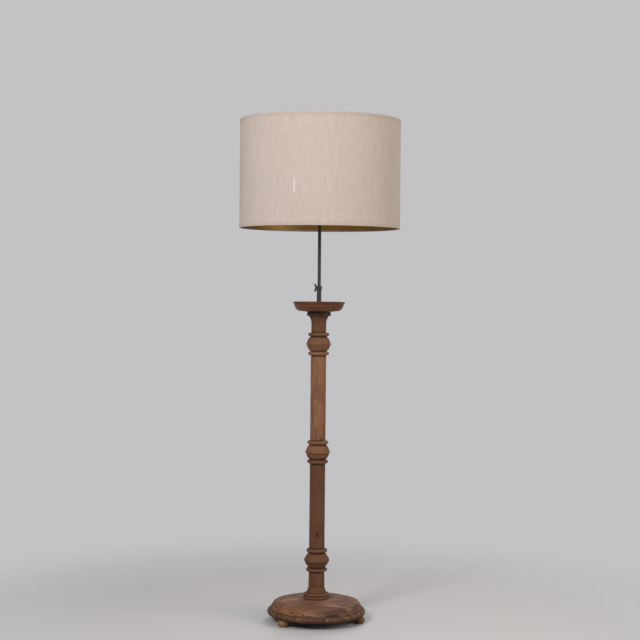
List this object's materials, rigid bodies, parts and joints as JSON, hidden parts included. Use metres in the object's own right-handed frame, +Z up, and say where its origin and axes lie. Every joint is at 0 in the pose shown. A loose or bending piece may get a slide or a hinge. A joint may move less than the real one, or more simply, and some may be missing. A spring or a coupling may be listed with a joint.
{
  "type": "candlestick floor lamp",
  "caption": "Floor lamp with a turned wooden candlestick column on a round base with bun feet, a drip pan, a telescopic stem and a linen drum shade.",
  "frame": {"origin": "on the floor, on the axis of the column", "axes": "+Z up along the column, front faces -Y, wing screw on the -X side"},
  "size_m": [0.6013, 0.6012, 1.8656],
  "materials": {
    "foot_wood": "pale turned wood, matt",
    "base_wood": "dry brown planks, matt",
    "column_wood": "turned brown wood, matt, dark in the grooves",
    "pan_wood": "dark reddish brown turned wood",
    "black_steel": "near-black satin",
    "zinc_steel": "zinc plated",
    "brass": "satin brass",
    "nylon": "natural nylon",
    "black_rubber": "matt black",
    "insulating_card": "brown insulating card",
    "phenolic": "black moulding",
    "bulb_metal": "bright",
    "bulb_glass": "frosted",
    "linen": "natural slub linen",
    "linen_binding": "natural linen binding",
    "gilt_lining": "brushed gold"
  },
  "bodies": {
    "stand": {"bun_foot_rear": "foot_wood", "bun_foot_left": "foot_wood", "bun_foot_right": "foot_wood", "foot_screws": "zinc_steel", "base_plate": "base_wood", "base_dome": "base_wood", "base_screws": "zinc_steel", "recess_cover": "black_steel", "cover_screws": "zinc_steel", "cable_outlet_bush": "black_rubber", "column_foot": "column_wood", "column_lower_shaft": "column_wood", "column_upper_shaft": "column_wood", "column_neck": "column_wood", "capital_ring": "pan_wood", "drip_pan": "pan_wood", "stem_tube": "black_steel", "lower_washer": "zinc_steel", "lower_nut": "zinc_steel", "upper_washer": "zinc_steel", "upper_nut": "zinc_steel", "clamp_collar": "black_steel"},
    "guide": {"rod_guide_bush": "nylon"},
    "head": {"stem_rod": "black_steel", "rod_clips": "zinc_steel", "harp_saddle": "brass", "harp_bow": "brass", "harp_ferrules": "brass", "harp_stud": "brass", "holder_nipple": "zinc_steel", "holder_cap": "brass", "holder_shell": "brass", "holder_sleeve": "insulating_card", "holder_core": "phenolic", "terminal_screws": "brass", "thread_shell": "brass", "centre_contact": "brass", "bulb_contact": "bulb_metal", "bulb_cap": "bulb_metal", "bulb_glass": "bulb_glass", "shade_cover": "linen", "shade_liner": "gilt_lining", "hem_top": "linen_binding", "hem_bottom": "linen_binding", "shade_ring_bottom": "zinc_steel", "shade_spider": "zinc_steel", "finial": "brass"},
    "clamp": {"clamp_pad": "brass"},
    "wing": {"wing_screw": "black_steel"},
    "switch": {"switch_knob": "phenolic"}
  },
  "joints": [
    {"name": "stem_slide", "type": "slide", "parent": "stand", "child": "guide", "axis": [0, 0, 1], "range_m": [-0.26, 0.1]},
    {"name": "stem_swivel", "type": "hinge", "parent": "guide", "child": "head", "pos_m": [0, 0, 1.116], "axis": [0, 0, 1], "continuous": true},
    {"name": "clamp_feed", "type": "slide", "parent": "stand", "child": "clamp", "axis": [-1, 0, 0], "range_m": [0, 0.0008]},
    {"name": "wing_turn", "type": "hinge", "parent": "clamp", "child": "wing", "pos_m": [-0.013, 0, 1.2412], "axis": [-1, 0, 0], "range_deg": [0, 360]},
    {"name": "switch_turn", "type": "hinge", "parent": "head", "child": "switch", "pos_m": [0.02, 0, 1.558], "axis": [1, 0, 0], "continuous": true}
  ],
  "couplings": [
    {"joint": "clamp_feed", "follows": "wing_turn", "m_per_rad": 0.00012732}
  ]
}
